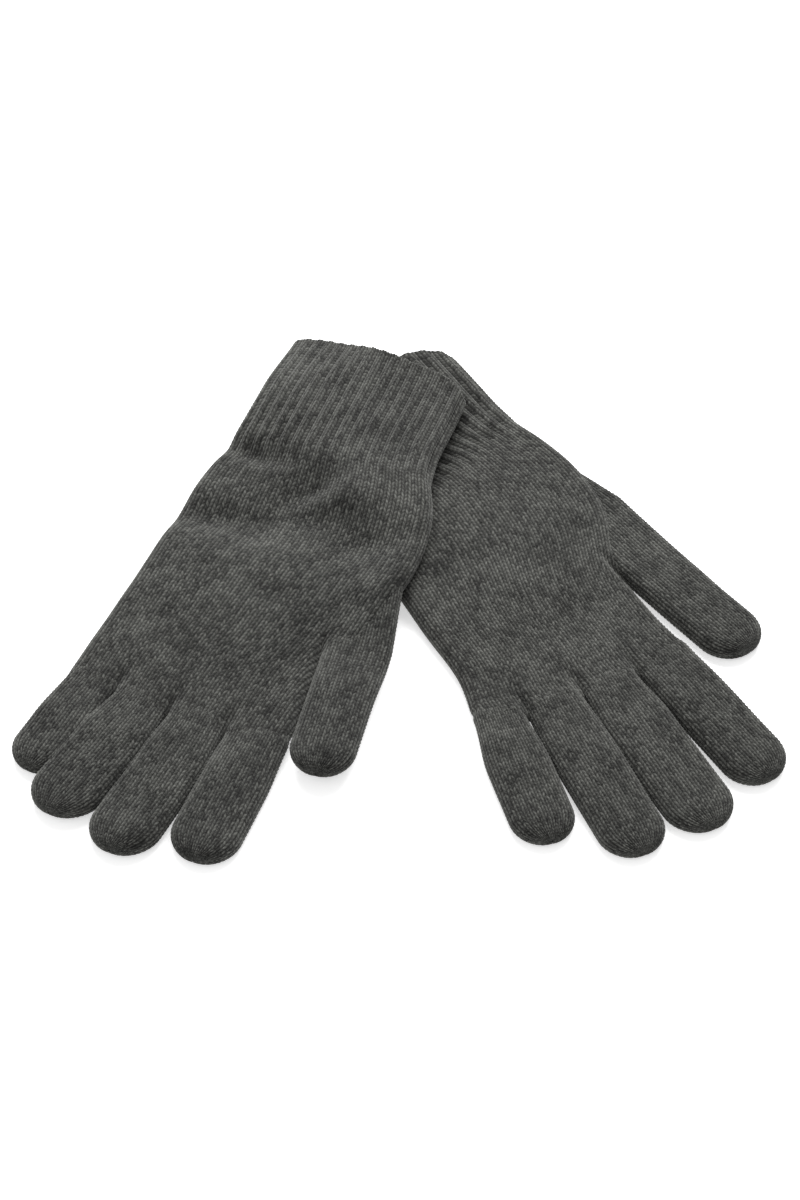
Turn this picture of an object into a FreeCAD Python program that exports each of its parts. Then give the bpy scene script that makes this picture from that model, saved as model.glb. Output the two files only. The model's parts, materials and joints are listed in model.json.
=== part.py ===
"""A pair of knitted gloves laid flat and fanned out, the left one resting on the right one.

Each glove is a set of knitted tubes (a ribbed cuff, a hand and five digits) joined and closed with yarn.
Every piece is modelled flat in its own frame, with its mid-plane on the XY plane, and is then placed.
A glove's frame has its origin at the middle of the seam between cuff and hand, +Y towards the wrist,
-Y towards the fingertips and +X towards the thumb. That holds for both gloves as they lie here: the right
one has its back up and the left one has its palm up.
"""
import FreeCAD, Part
import math
import os
from collections import namedtuple
import Sketcher
from FreeCAD import Placement, Rotation, Vector

# ---------------------------------------------------------------- driving dimensions, mm and degrees

SIZES = {
    # fabric
    "flat_thickness": 9.0,          # height of a tube of fabric that lies relaxed
    "wall": 1.6,                    # one layer of fabric
    "edge_roll": 4.2,               # radius of the fold along a tube's closed sides
    "side_inset": 2.7,              # from a tube's closed side to its cavity
    "yarn_radius": 0.3,
    "gap": 1.2,                     # room for a seam between two tubes
    # cuff
    "cuff_length": 47.0,
    "cuff_seam_half_width": 38.5,
    "cuff_open_half_width": 36.5,
    # hand
    "hand_seam_half_width": 39.0,
    "hand_bulge": 2.0,              # sideways bulge of the little-finger side
    "thumb_drop": 79.4,             # from the seam to the middle of the thumb's root
    "knuckle_drop": 125.0,          # from the seam to the forefinger's outer corner
    "fork": 1.0,                    # between two fingers at their roots
    # digits
    "thumb_width": 24.0,
    "index_width": 22.0,
    "middle_width": 21.0,
    "ring_width": 20.5,
    "little_width": 18.0,
    "tip_ring_radius": 1.9,         # the drawn-up yarn that closes a digit's tip
    "tip_ring_inset": 4.6,
    # how the right glove lies
    "right_turn": 28.0,             # about the vertical
    "right_thumb_x": 47.8,
    "right_knuckle_x": 40.0,
    "right_thumb_splay": 9.0,       # a digit's direction, from straight ahead towards the thumb's side
    "right_index_splay": 4.0,
    "right_middle_splay": -2.5,
    "right_ring_splay": -5.8,
    "right_little_splay": -13.0,
    "right_thumb_length": 59.5,     # a digit's length as it lies
    "right_index_length": 65.0,
    "right_middle_length": 73.5,
    "right_ring_length": 72.5,
    "right_little_length": 58.0,
    # how the left glove lies, its wrist end raised on the right glove
    "left_turn": -23.5,
    "left_seam_x": -32.5,           # the middle of its seam, from the right glove's
    "left_seam_y": -8.0,
    "left_seam_rise": 10.7,
    "left_pitch": 3.9,
    "left_roll": 2.5,
    "left_thumb_x": 44.0,
    "left_knuckle_x": 38.0,
    "left_thumb_splay": 9.5,
    "left_index_splay": 3.5,
    "left_middle_splay": 1.0,
    "left_ring_splay": -3.5,
    "left_little_splay": -4.0,
    "left_thumb_length": 55.0,      # its digits lie a little bunched, so they reach less far
    "left_index_length": 57.5,
    "left_middle_length": 62.5,
    "left_ring_length": 57.0,
    "left_little_length": 44.0,
    "left_tip_rise": 0.5,           # its fingertips, above the table
}

FINGERS = ("index", "middle", "ring", "little")
DIGITS = ("thumb",) + FINGERS

# A corner of an outline and the side that leaves it. x and y are expressions for the corner, closed says that
# the fabric is folded along the side (otherwise it is an open end), and via, if given, is a pair of
# expressions for a point that the side passes as an arc.
Side = namedtuple("Side", "x y closed via", defaults=(False, None))

doc = FreeCAD.newDocument("knitted_gloves")
sheet = doc.addObject("Spreadsheet::Sheet", "Sizes")


def fill_sheet():
    """Puts each driving dimension in a named cell."""
    for row, (name, value) in enumerate(SIZES.items(), start=1):
        sheet.set(f"A{row}", name)
        sheet.set(f"B{row}", str(value))
        sheet.setAlias(f"B{row}", name)
    doc.recompute()


def cell(name):
    """How an expression names one cell."""
    return f"Sizes.{name}"


def value_of(expression):
    """The number that an expression over the sheet gives."""
    return float(sheet.evalExpression(str(expression)))


def size(name):
    return value_of(cell(name))


# ---------------------------------------------------------------- sketches and features

def new_body(label):
    body = doc.addObject("PartDesign::Body", label)
    body.Label = label
    return body


def new_sketch(body, name, plane="XY_Plane"):
    """A sketch on one of the body's own origin planes."""
    sketch = body.newObject("Sketcher::SketchObject", f"{body.Label}_{name}")
    origin_plane = next(feature for feature in body.Origin.OriginFeatures if feature.Role == plane)
    sketch.AttachmentSupport = [(origin_plane, "")]
    sketch.MapMode = "FlatFace"
    return sketch


def nearest_end(sketch, curve, place):
    """1 or 2: the end of a sketch curve that is at a place."""
    return 1 if sketch.getPoint(curve, 1).distanceToPoint(place) < 1e-6 else 2


def pin(sketch, curve, end, x, y):
    """Binds a point of a sketch curve to expressions for its place."""
    point = sketch.getPoint(curve, end)
    for kind, value, expression in (("DistanceX", point.x, x), ("DistanceY", point.y, y)):
        index = sketch.addConstraint(Sketcher.Constraint(kind, -1, 1, curve, end, value))
        sketch.setExpression(f"Constraints[{index}]", str(expression))


def draw(sketch, sides):
    """Draws a closed outline, bound to its expressions, and returns points on its closed sides."""
    places = [Vector(value_of(side.x), value_of(side.y), 0) for side in sides]
    folded = []
    for index, side in enumerate(sides):
        start, end = places[index], places[(index + 1) % len(places)]
        if side.via is None:
            middle = (start + end) * 0.5
            sketch.addGeometry(Part.LineSegment(start, end))
        else:
            middle = Vector(value_of(side.via[0]), value_of(side.via[1]), 0)
            sketch.addGeometry(Part.Arc(start, middle, end))
        if side.closed:
            folded.append(middle)
    for index, side in enumerate(sides):
        before = (index - 1) % len(sides)
        here = nearest_end(sketch, index, places[index])
        there = nearest_end(sketch, before, places[index])
        sketch.addConstraint(Sketcher.Constraint("Coincident", before, there, index, here))
        pin(sketch, index, here, side.x, side.y)
        if side.via is not None:
            passed = Vector(value_of(side.via[0]), value_of(side.via[1]), 0)
            point = sketch.addGeometry(Part.Point(passed), True)
            pin(sketch, point, 1, *side.via)
            sketch.addConstraint(Sketcher.Constraint("PointOnObject", point, 1, index))
    return folded


def pad(body, sketch):
    """A slab as thick as a flat tube, about the sketch's plane."""
    feature = body.newObject("PartDesign::Pad", f"{sketch.Name}_pad")
    feature.Profile = sketch
    feature.SideType = "Symmetric"
    feature.setExpression("Length", cell("flat_thickness"))
    doc.recompute()
    return feature


def roll_sides(body, slab, folded):
    """Rounds the slab's top and bottom edges along its closed sides."""
    half_thickness = size("flat_thickness") / 2
    marks = [Part.Vertex(place.x, place.y, side * half_thickness) for place in folded for side in (-1, 1)]
    chosen = []
    for number, edge in enumerate(slab.Shape.Edges, start=1):
        if min(edge.distToShape(mark)[0] for mark in marks) < 1e-3:
            chosen.append(f"Edge{number}")
    if len(chosen) != len(marks):
        raise RuntimeError(f"{slab.Name}: {len(chosen)} edges found for {len(marks)} rolled edges")
    feature = body.newObject("PartDesign::Fillet", f"{slab.Name}_roll")
    feature.Base = (slab, chosen)
    feature.setExpression("Radius", cell("edge_roll"))
    doc.recompute()


def hollow(body, sketch):
    """Cuts a cavity that leaves one layer of fabric above and below."""
    volume_before = body.Shape.Volume
    feature = body.newObject("PartDesign::Pocket", f"{sketch.Name}_pocket")
    feature.Profile = sketch
    feature.SideType = "Symmetric"
    feature.setExpression("Length", f"{cell('flat_thickness')} - 2 * {cell('wall')}")
    doc.recompute()
    if body.Shape.Volume > volume_before - 1.0:
        raise RuntimeError(f"{feature.Name} cut nothing")


# ---------------------------------------------------------------- knitted tubes

def digit_sides(half_width, length, root):
    """A digit's outline: an open root at Y = root, parallel sides and a semicircular tip at Y = -length."""
    shoulder = f"{half_width} - ({length})"
    return [
        Side(f"-({half_width})", root, closed=True),
        Side(f"-({half_width})", shoulder, closed=True, via=("0", f"-({length})")),
        Side(half_width, shoulder, closed=True),
        Side(half_width, root),
    ]


def make_digit(label, glove, digit):
    """One finger or thumb: a tube open at the root and closed at its round tip."""
    body = new_body(label)
    half_width = f"{cell(digit + '_width')} / 2"
    length = cell(f"{glove}_{digit}_length")
    inset = cell("side_inset")
    outline = new_sketch(body, "outline")
    folded = draw(outline, digit_sides(half_width, length, "0"))
    roll_sides(body, pad(body, outline), folded)
    cavity = new_sketch(body, "cavity")
    draw(cavity, digit_sides(f"({half_width} - {inset})", f"({length} - {inset})", "1"))
    hollow(body, cavity)
    return body


def make_cuff(label):
    """The ribbed cuff: a tube open at both ends and a little narrower at its opening."""
    body = new_body(label)
    seam, opening, inset = cell("cuff_seam_half_width"), cell("cuff_open_half_width"), cell("side_inset")
    near = f"{cell('gap')} / 2"
    far = f"{near} + {cell('cuff_length')}"
    outline = new_sketch(body, "outline")
    folded = draw(outline, [
        Side(f"-{seam}", near),
        Side(seam, near, closed=True),
        Side(opening, far),
        Side(f"-{opening}", far, closed=True),
    ])
    roll_sides(body, pad(body, outline), folded)
    cavity = new_sketch(body, "cavity")
    draw(cavity, [
        Side(f"{inset} - {seam}", f"{near} - 1"),
        Side(f"{seam} - {inset}", f"{near} - 1"),
        Side(f"{opening} - {inset}", f"{far} + 1"),
        Side(f"{inset} - {opening}", f"{far} + 1"),
    ])
    hollow(body, cavity)
    return body


def root_corners(glove):
    """Each digit's root as its two ends, a pair of expressions each, the thumb's side first."""
    splay = cell(f"{glove}_thumb_splay")
    middle, half = cell(f"{glove}_thumb_x"), f"{cell('thumb_width')} / 2"
    drop = cell("thumb_drop")
    roots = {"thumb": (
        (f"{middle} + {half} * cos({splay})", f"-{drop} + {half} * sin({splay})"),
        (f"{middle} - {half} * cos({splay})", f"-{drop} - {half} * sin({splay})"),
    )}
    x, y = cell(f"{glove}_knuckle_x"), f"-{cell('knuckle_drop')}"
    for finger in FINGERS:
        splay, width = cell(f"{glove}_{finger}_splay"), cell(f"{finger}_width")
        far_x = f"{x} - {width} * cos({splay})"
        far_y = f"{y} - {width} * sin({splay})"
        roots[finger] = ((x, y), (far_x, far_y))
        x, y = f"{far_x} - {cell('fork')}", far_y
    return roots


def open_root(body, glove, digit, root):
    """Opens the hand into one digit, with a channel along the digit's direction."""
    reach_in, reach_out = 14, 3
    splay = cell(f"{glove}_{digit}_splay")
    half = f"({cell(digit + '_width')} / 2 - {cell('side_inset')})"
    (first_x, first_y), (second_x, second_y) = root
    sides = []
    for side, reach in ((-1, reach_out), (1, reach_out), (1, -reach_in), (-1, -reach_in)):
        x = f"(({first_x}) + ({second_x})) / 2 + {side} * {half} * cos({splay}) + {reach} * sin({splay})"
        y = f"(({first_y}) + ({second_y})) / 2 + {side} * {half} * sin({splay}) - {reach} * cos({splay})"
        sides.append(Side(x, y))
    channel = new_sketch(body, f"{digit}_channel")
    draw(channel, sides)
    hollow(body, channel)


def make_hand(label, glove):
    """The hand: one wide tube, open to the cuff and to all five digits."""
    body = new_body(label)
    half, inset = cell("hand_seam_half_width"), cell("side_inset")
    seam = f"-{cell('gap')} / 2"
    roots = root_corners(glove)
    thumb_outer, thumb_inner = roots["thumb"]
    little_outer = roots["little"][1]

    bulge_x = f"({little_outer[0]} - {half}) / 2 - {cell('hand_bulge')}"
    bulge_y = f"({little_outer[1]} + ({seam})) / 2"
    sides = [Side(half, seam), Side(f"-{half}", seam, closed=True, via=(bulge_x, bulge_y))]
    for finger in reversed(FINGERS):
        near, far = roots[finger]
        sides.append(Side(*far))
        sides.append(Side(*near, closed=(finger == "index")))
    sides.append(Side(*thumb_inner))
    sides.append(Side(*thumb_outer, closed=True))
    outline = new_sketch(body, "outline")
    folded = draw(outline, sides)
    roll_sides(body, pad(body, outline), folded)

    knuckle_inset = 6
    cavity = new_sketch(body, "cavity")
    draw(cavity, [
        Side(f"{half} - {inset}", "1"),
        Side(f"{inset} - {half}", "1"),
        Side(f"{little_outer[0]} + {inset}", f"{little_outer[1]} + {knuckle_inset}"),
        Side(f"{cell(glove + '_knuckle_x')} - {inset}", f"{knuckle_inset} - {cell('knuckle_drop')}"),
        Side(f"{thumb_inner[0]} - {inset}", thumb_inner[1]),
        Side(f"{thumb_outer[0]} - {inset}", f"{thumb_outer[1]} + {inset}"),
    ])
    hollow(body, cavity)
    for digit in DIGITS:
        open_root(body, glove, digit, roots[digit])
    return body


# ---------------------------------------------------------------- yarn

def make_seam_yarn(label, half_width):
    """A strand that runs round a tube's mouth, in the XZ plane, at the middle of the fabric."""
    body = new_body(label)
    rise = f"(({cell('flat_thickness')} - {cell('wall')}) / 2)"
    reach = f"({half_width} - {cell('wall')} / 2 - {rise})"
    path = new_sketch(body, "path", plane="XZ_Plane")
    draw(path, [
        Side(f"-{reach}", f"-{rise}"),
        Side(reach, f"-{rise}", via=(f"{reach} + {rise}", "0")),
        Side(reach, rise),
        Side(f"-{reach}", rise, via=(f"-{reach} - {rise}", "0")),
    ])
    section = new_sketch(body, "section", plane="YZ_Plane")
    section.addGeometry(Part.Circle(Vector(0, value_of(rise), 0), Vector(0, 0, 1), size("yarn_radius")))
    pin(section, 0, 3, "0", rise)
    index = section.addConstraint(Sketcher.Constraint("Radius", 0, size("yarn_radius")))
    section.setExpression(f"Constraints[{index}]", cell("yarn_radius"))
    pipe = body.newObject("PartDesign::AdditivePipe", f"{label}_pipe")
    pipe.Profile = section
    pipe.Spine = (path, [f"Edge{number}" for number in range(1, 5)])
    doc.recompute()
    return body


def make_tip_yarn(label):
    """The ring of yarn that draws a digit's tip together, on the inside."""
    ring = doc.addObject("Part::Torus", label)
    ring.Label = label
    ring.setExpression("Radius1", cell("tip_ring_radius"))
    ring.setExpression("Radius2", cell("yarn_radius"))
    return ring


def make_fork_stitches(label, glove):
    """The stitches that close the fabric between two fingers: one strand at each of the three forks."""
    roots = root_corners(glove)
    strands = []
    for finger in FINGERS[:-1]:
        end_x, end_y = roots[finger][1]
        strand = doc.addObject("Part::Cylinder", f"{label}_{finger}")
        strand.setExpression("Radius", cell("yarn_radius"))
        strand.setExpression("Height", f"{cell('flat_thickness')} - 2 * {cell('wall')}")
        x = value_of(f"{end_x} - {cell('fork')} / 2")
        y = value_of(f"{end_y} - {cell('gap')} / 2")
        strand.Placement = Placement(Vector(x, y, size("wall") - size("flat_thickness") / 2), Rotation())
        strands.append(strand)
    group = doc.addObject("Part::Compound", label)
    group.Label = label
    group.Links = strands
    doc.recompute()
    return group


# ---------------------------------------------------------------- where each piece lies

def turned(angle, pitch=0.0, roll=0.0):
    """Turned about the vertical, then with the wrist end raised by pitch and the thumb's side by roll."""
    about_z = Rotation(Vector(0, 0, 1), angle)
    about_x = Rotation(Vector(1, 0, 0), pitch)
    about_y = Rotation(Vector(0, 1, 0), -roll)
    return about_z * about_x * about_y


def hand_frame(glove):
    """The frame of a glove's hand."""
    rest = size("flat_thickness") / 2
    if glove == "right":
        return Placement(Vector(0, 0, rest), turned(size("right_turn")))
    seam = Vector(size("left_seam_x"), size("left_seam_y"), size("left_seam_rise") + rest)
    return Placement(seam, turned(size("left_turn"), size("left_pitch"), size("left_roll")))


def cuff_frame(glove):
    """The frame of a glove's cuff, which lies level."""
    frame = hand_frame(glove)
    return Placement(frame.Base, turned(size(f"{glove}_turn")))


def digit_frame(glove, digit):
    """The frame of a digit: its root beyond the hand's edge by the gap, its tip down on the table."""
    splay = size(f"{glove}_{digit}_splay")
    ends = [Vector(value_of(x), value_of(y), 0) for x, y in root_corners(glove)[digit]]
    ahead = Vector(math.sin(math.radians(splay)), -math.cos(math.radians(splay)), 0)
    root = hand_frame(glove).multVec((ends[0] + ends[1]) * 0.5 + ahead * size("gap"))
    pitch = 0.0
    if glove == "left":
        drop = root.z - size("flat_thickness") / 2 - size("left_tip_rise")
        pitch = math.degrees(math.asin(drop / size(f"{glove}_{digit}_length")))
    return Placement(root, turned(size(f"{glove}_turn") + splay, pitch))


def make_glove(glove):
    """All pieces of one glove, each in its place relative to the right glove's seam."""
    pieces = []

    def place(piece, frame):
        piece.Placement = frame
        pieces.append(piece)

    place(make_hand(f"{glove}_hand", glove), hand_frame(glove))
    place(make_cuff(f"{glove}_rib_cuff"), cuff_frame(glove))
    seam_yarn = make_seam_yarn(f"{glove}_cuff_seam_yarn", cell("cuff_seam_half_width"))
    place(seam_yarn, hand_frame(glove) * Placement(Vector(0, -size("gap") / 6, 0), Rotation()))
    place(make_fork_stitches(f"{glove}_finger_fork_stitches", glove), hand_frame(glove))
    for digit in DIGITS:
        name = digit if digit == "thumb" else f"{digit}_finger"
        frame = digit_frame(glove, digit)
        place(make_digit(f"{glove}_{name}", glove, digit), frame)
        across_the_tip = Rotation(Vector(1, 0, 0), 90)
        tip = Vector(0, size("tip_ring_inset") - size(f"{glove}_{digit}_length"), 0)
        place(make_tip_yarn(f"{glove}_{digit}_tip_yarn"), frame * Placement(tip, across_the_tip))
    towards_hand = Placement(Vector(0, 0.55 * size("gap"), 0), Rotation())
    thumb_yarn = make_seam_yarn(f"{glove}_thumb_seam_yarn", f"{cell('thumb_width')} / 2")
    place(thumb_yarn, digit_frame(glove, "thumb") * towards_hand)
    return pieces


def centre_on_footprint(pieces):
    """Moves all pieces so that the origin is the middle of the pair's footprint, on the table."""
    doc.recompute()
    whole = Part.makeCompound([piece.Shape for piece in pieces]).optimalBoundingBox()
    middle = Vector(whole.Center.x, whole.Center.y, 0)
    for piece in pieces:
        piece.Placement = Placement(piece.Placement.Base - middle, piece.Placement.Rotation)
    doc.recompute()


def check(pieces):
    """Stops if anything failed to build."""
    for item in doc.Objects:
        if "Invalid" in item.State or "Error" in item.State:
            raise RuntimeError(f"{item.Label} failed: {item.State}")
    for piece in pieces:
        if piece.Shape.isNull() or not piece.Shape.isValid() or not piece.Shape.Solids:
            raise RuntimeError(f"{piece.Label} has no valid solid")


def write_steps(pieces):
    """One STEP file for each piece, named after its label."""
    os.makedirs("parts", exist_ok=True)
    for piece in pieces:
        piece.Shape.exportStep(f"parts/{piece.Label}.step")


fill_sheet()
all_pieces = make_glove("right") + make_glove("left")
centre_on_footprint(all_pieces)
check(all_pieces)
write_steps(all_pieces)
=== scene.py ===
"""Looks of a pair of knitted gloves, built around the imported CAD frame.

Every knitted tube is one closed grid of points. Columns run round the tube, one group for each wale
(column of stitches), and rows run along it, one group for each course (row of stitches). Lengths are in
millimetres, in a glove's own plan: the origin is the middle of the seam between cuff and hand, +y runs to
the wrist, -y to the fingertips and +x to the thumb. Glove.lay() turns that plan and lays it on the table.
"""
import json
import math
from typing import NamedTuple

import bpy
import numpy as np
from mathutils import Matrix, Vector


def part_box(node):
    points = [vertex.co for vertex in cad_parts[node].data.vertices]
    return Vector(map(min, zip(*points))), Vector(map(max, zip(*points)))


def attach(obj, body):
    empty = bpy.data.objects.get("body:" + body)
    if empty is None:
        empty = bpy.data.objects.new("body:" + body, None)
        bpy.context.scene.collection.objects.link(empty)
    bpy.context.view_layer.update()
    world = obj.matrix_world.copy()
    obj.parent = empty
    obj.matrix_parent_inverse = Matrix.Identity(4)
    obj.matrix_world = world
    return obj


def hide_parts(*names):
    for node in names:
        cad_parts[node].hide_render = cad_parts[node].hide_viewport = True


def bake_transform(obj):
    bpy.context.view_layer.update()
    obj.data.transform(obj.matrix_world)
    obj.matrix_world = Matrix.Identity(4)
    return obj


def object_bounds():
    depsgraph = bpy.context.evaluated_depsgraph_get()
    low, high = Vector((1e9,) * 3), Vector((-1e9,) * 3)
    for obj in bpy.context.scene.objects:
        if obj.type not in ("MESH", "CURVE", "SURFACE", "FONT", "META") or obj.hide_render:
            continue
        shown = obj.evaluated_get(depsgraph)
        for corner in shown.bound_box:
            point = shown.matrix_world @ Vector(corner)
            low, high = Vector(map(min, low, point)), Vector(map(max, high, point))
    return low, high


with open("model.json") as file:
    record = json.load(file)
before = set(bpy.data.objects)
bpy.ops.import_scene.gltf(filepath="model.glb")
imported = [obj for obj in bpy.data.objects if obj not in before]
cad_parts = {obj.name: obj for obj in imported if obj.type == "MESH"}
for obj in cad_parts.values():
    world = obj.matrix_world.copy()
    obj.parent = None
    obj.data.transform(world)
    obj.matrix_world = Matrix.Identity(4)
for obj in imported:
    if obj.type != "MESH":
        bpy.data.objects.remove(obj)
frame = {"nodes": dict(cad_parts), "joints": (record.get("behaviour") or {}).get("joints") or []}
cad_low, cad_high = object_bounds()

MM = 0.001
FINGERS = ("index", "middle", "ring", "little")
DIGITS = ("thumb",) + FINGERS
JOINTS = {joint["name"]: joint for joint in frame["joints"]}

# knit, mm
WALE = 2.45                      # width of one column of stitches
COURSE = 1.7                     # height of one row of stitches
COLUMNS_PER_WALE = 6
ROWS_PER_COURSE = 3
LAYER = 2.0                      # thickness of one layer of knit
STITCH_RELIEF = 0.5
LEAN = 1.7                       # courses that a leg of a V climbs in one wale's width
RIB_RELIEF = 0.7
RIB_FADE = (-5, 8)               # the ribs appear over this stretch about their end
YARN_RADIUS = 0.4
YARN_SIDES = 6

# tubes lying flat, mm
HALF_HEIGHT = 4.5                # at the wrist, as in the frame
FINGER_HALF_HEIGHT = 3.1         # knit lies flatter towards the fingers
FLATTENING = (-45, -112)         # where in the plan it gets flatter
CROWN = 1.1                      # how far the middle of a tube stands above its sides
DIGIT_CROWN = 1.3
CREASE_DEPTH = 1.7               # of the valleys that run from the finger crotches into the hand
VALLEY_HALF_WIDTH = 2.4
VALLEY_REACH = (13, -2)          # from where they start, before a crotch, to where they are deepest
THUMB_VALLEY = 0.85              # share of its thickness that the hand loses beside the thumb
THUMB_VALLEY_HALF_WIDTH = 1.5
ROOT_CAP = 5.0                   # rounded end of a tube where it tucks into its neighbour
CAP_ANGLE = 1.4                  # radians: the cap stops just short of a sharp edge
THUMB_START = -46.0              # the thumb's tube starts this far behind its root
THUMB_LIFT_START = -12.0         # and starts to rise here
THUMB_BALL = ((-12, 6.5), (-26, 10), (-42, 11), (-58, 9))    # place, and bulge past the seam's side
SWELL_END = 24                   # past its root, where a digit has its full width and lift
SLIM_END = 18                    # past its root, where it has its own crown
RIM_WAVE = 0.5                   # unevenness of the cuff's rim
LOW_LIMIT = 0.05                 # no point lies lower
TABLE_CLEARANCE = 0.45           # keeps the stitches of the underside off the table

# one glove on the other
CELL = 2.0                       # mm, of the height maps
MAP_MARGIN = 20                  # mm, of the height maps past the frame's box
PRESSED_SHARE = 0.22             # of its height that the lower glove loses under the upper one
DRAPE_SLOPE = 0.28               # steepest fall of the upper glove

# looks
WOOL_DARK = (0.008, 0.008, 0.0074, 1)
WOOL_LIGHT = (0.178, 0.18, 0.165, 1)
FUZZ_COLOUR = (0.75, 0.75, 0.72, 1)
WHITE = (1, 1, 1, 1)
FLOOR_GREY = (0.92, 0.92, 0.92, 1)
FLOOR_GLOW = 0.5                 # a faintly lit table keeps the shadows on it pale
WORLD_STRENGTH = 0.5


# ---------------------------------------------------------------- smooth randomness and curves

def lattice(ix, iy, seed):
    """A repeatable pseudo-random number from 0 to 1 at each lattice point."""
    value = np.sin(ix * 127.1 + iy * 311.7 + seed * 74.7) * 43758.5453
    return value - np.floor(value)


def smooth_noise(x, y, cell, seed):
    """Smooth noise from -1 to 1 whose features are about cell wide."""
    x, y = np.asarray(x) / cell, np.asarray(y) / cell
    ix, iy = np.floor(x), np.floor(y)
    fx, fy = x - ix, y - iy
    fx, fy = fx * fx * (3 - 2 * fx), fy * fy * (3 - 2 * fy)
    low = lattice(ix, iy, seed) * (1 - fx) + lattice(ix + 1, iy, seed) * fx
    high = lattice(ix, iy + 1, seed) * (1 - fx) + lattice(ix + 1, iy + 1, seed) * fx
    return 2 * (low * (1 - fy) + high * fy) - 1


def smoothstep(low, high, value):
    """0 at low, 1 at high and smooth between them; low may be the greater of the two."""
    share = np.clip((value - low) / (high - low), 0, 1)
    return share * share * (3 - 2 * share)


def bell(distance, width):
    """1 at distance 0, fading smoothly over about width."""
    return np.exp(-(distance / width) ** 2)


def turned(x, y, angle):
    """A point turned anticlockwise about the origin."""
    cos, sin = math.cos(angle), math.sin(angle)
    return x * cos - y * sin, x * sin + y * cos


def spline(knots, at):
    """Natural cubic through knots given as (place, value) pairs, evaluated at other places."""
    knots = sorted(knots)
    x = np.array([knot[0] for knot in knots], float)
    y = np.array([knot[1] for knot in knots], float)
    gaps = np.diff(x)
    slopes = np.diff(y) / gaps
    count = len(x)
    system = np.eye(count)
    right = np.zeros(count)
    for i in range(1, count - 1):
        system[i, i - 1:i + 2] = gaps[i - 1], 2 * (gaps[i - 1] + gaps[i]), gaps[i]
        right[i] = 6 * (slopes[i] - slopes[i - 1])
    bend = np.linalg.solve(system, right)
    at = np.clip(at, x[0], x[-1])
    i = np.clip(np.searchsorted(x, at) - 1, 0, count - 2)
    past = at - x[i]
    first = slopes[i] - gaps[i] * (2 * bend[i] + bend[i + 1]) / 6
    return y[i] + past * (first + past * (bend[i] / 2 + past * (bend[i + 1] - bend[i]) / (6 * gaps[i])))


# ---------------------------------------------------------------- knit relief

def stockinette(wale, course):
    """Height from 0 to 1 of plain knit: each wale has two slanting legs of yarn, a column of Vs."""
    across = wale - np.floor(wale)
    leg = np.abs(np.sin(2 * np.pi * across)) ** 0.8
    lean = np.where(across < 0.5, across - 0.25, 0.75 - across)
    along = 0.5 + 0.5 * np.cos(2 * np.pi * (course - LEAN * lean))
    return leg * (0.35 + 0.65 * along)


def rib(wale):
    """Height from 0 to 1 of one-by-one rib: one raised wale, then one sunken wale."""
    wave = 0.5 + 0.5 * np.cos(np.pi * (wale - 0.5))
    return wave ** 0.8


def stitch_relief(wale, course):
    """Relief of plain knit at every point of a tube."""
    return STITCH_RELIEF * stockinette(wale[None, :-1], course[:, None])


def rib_relief(glove, wale, x, y):
    """Relief of the cuff's ribs, which run out along a slanted line in the hand."""
    end = glove.rib_end(x)
    strength = smoothstep(end + RIB_FADE[0], end + RIB_FADE[1], y)
    return RIB_RELIEF * (2 * rib(wale[None, :-1]) - 1) * strength


# ---------------------------------------------------------------- tubes

class Tube(NamedTuple):
    """A knitted tube as a grid of points that closes round its columns."""
    points: np.ndarray           # rows x columns x 3
    wale: np.ndarray             # one value for each column and one more
    course: np.ndarray           # one value for each row
    relief: np.ndarray           # how far each point is pushed outwards
    flip: bool                   # the rows run away from the wrist
    cap_start: bool
    cap_end: bool


def cross_section(share, half_width, half_height, crown):
    """A flattened tube's outline. share runs from -0.5 to 0.5 by arc length, from the middle of the
    underside round to it again; 0 is the middle of the top. The others hold one value for each row."""
    half_height = np.minimum(half_height, half_width * 0.98)
    flat = half_width - half_height
    perimeter = 4 * flat + 2 * np.pi * half_height
    arc = np.abs(share) * perimeter
    angle = np.clip((arc - flat) / half_height, 0, np.pi)
    x = np.where(arc <= flat, arc, flat + half_height * np.sin(angle))
    x = np.where(arc > flat + np.pi * half_height, 2 * flat + np.pi * half_height - arc, x)
    z = np.where(arc <= flat, half_height, half_height * np.cos(angle))
    crowned = crown * (1 - (x / half_width) ** 2) * (z / half_height + 1) / 2
    return x * np.sign(share), z + crowned


def half_height_at(y):
    """Half the thickness of a glove at some place in its plan."""
    return HALF_HEIGHT + (FINGER_HALF_HEIGHT - HALF_HEIGHT) * smoothstep(*FLATTENING, y)


def wales_round(half_width):
    """How many wales go round a relaxed tube: a multiple of four, so that rib and caps close evenly."""
    perimeter = 4 * (half_width - HALF_HEIGHT) + 2 * math.pi * HALF_HEIGHT
    return 4 * int(round(perimeter / WALE / 4))


def columns_round(half_width):
    """Arc-length share of each column of a tube, and the wale coordinate of each column's edges."""
    columns = wales_round(half_width) * COLUMNS_PER_WALE
    share = np.arange(columns) / columns - 0.5
    wale = np.arange(columns + 1) / COLUMNS_PER_WALE
    return share[None, :], wale


def outward(tube):
    """Unit normals of a tube's points, pointing out of it."""
    round_it = np.roll(tube.points, -1, axis=1) - np.roll(tube.points, 1, axis=1)
    along = np.gradient(tube.points, axis=0)
    normal = np.cross(round_it, along)
    length = np.linalg.norm(normal, axis=2, keepdims=True)
    return normal / np.maximum(length, 1e-9) * (-1 if tube.flip else 1)


# ---------------------------------------------------------------- a glove's plan, read from the frame

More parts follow.
